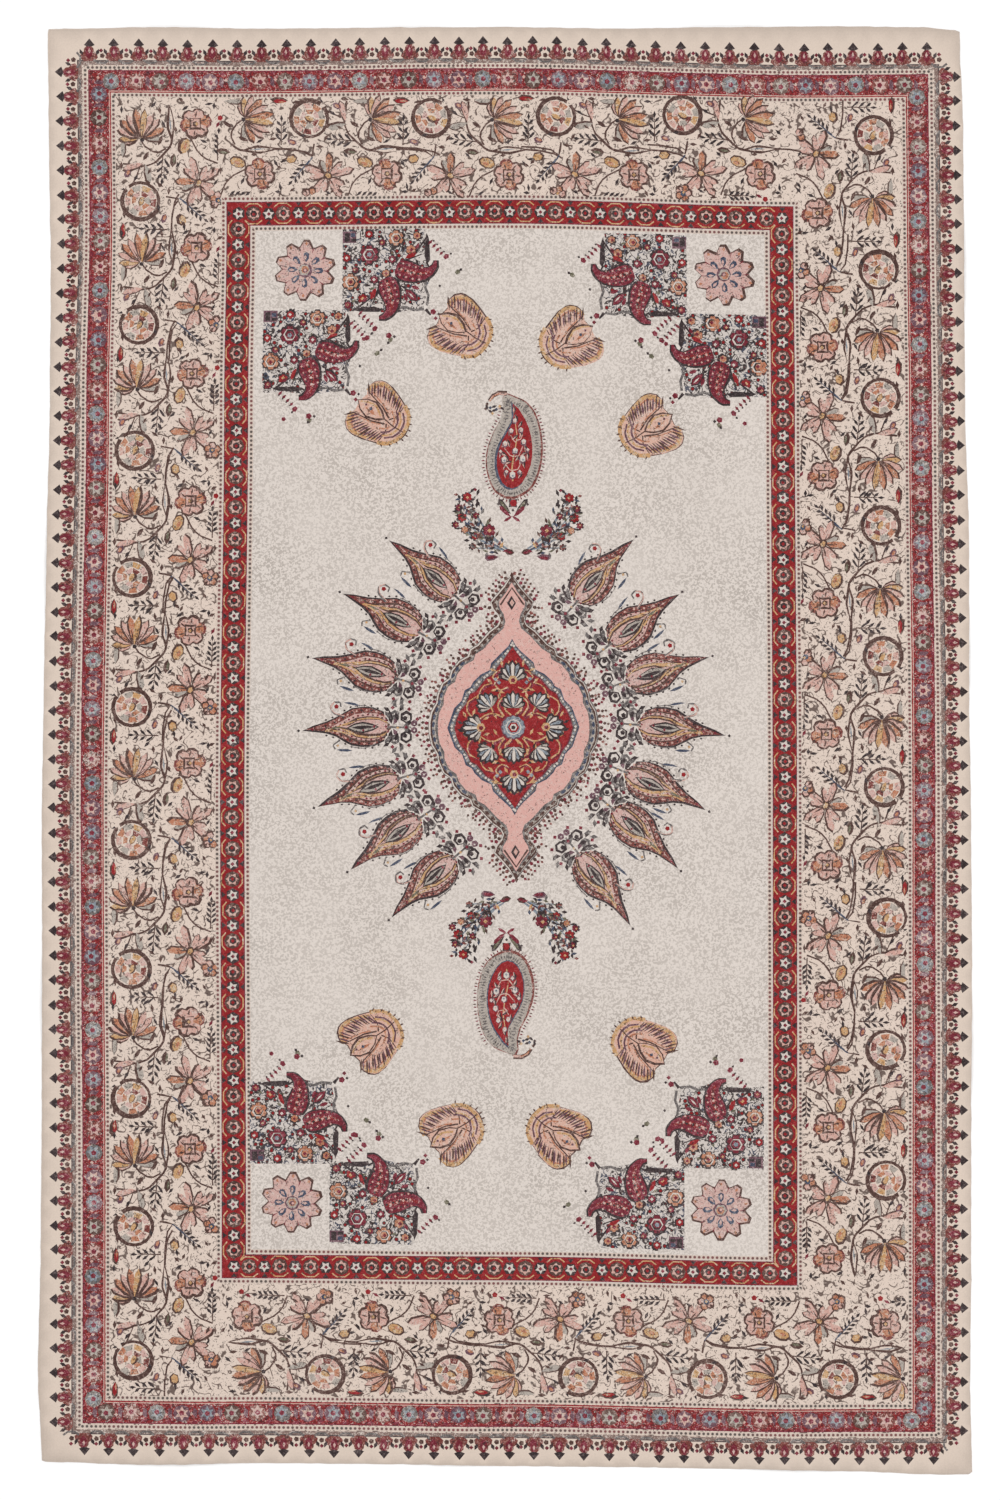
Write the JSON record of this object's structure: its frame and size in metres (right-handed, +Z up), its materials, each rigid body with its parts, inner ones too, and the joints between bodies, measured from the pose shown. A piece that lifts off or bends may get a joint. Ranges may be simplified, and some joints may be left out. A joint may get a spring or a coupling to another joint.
{
  "type": "block printed textile",
  "caption": "Large rectangular cotton cloth with a hand block printed border, corner flowers and central medallion, lying flat for use as a cover, spread or hanging.",
  "frame": {"origin": "on the resting surface, under the middle of the sheet", "axes": "+X across the cloth, +Y along it to the edge that is uppermost when it is looked at, +Z up out of the printed face"},
  "size_m": [1.4008, 2.1718, 0.0044],
  "materials": {
    "printed_cotton": "plain woven cotton, matt, printed with madder red, black, indigo, pink and ochre"
  },
  "bodies": {
    "root": {"printed_cloth": "printed_cotton"}
  },
  "joints": []
}
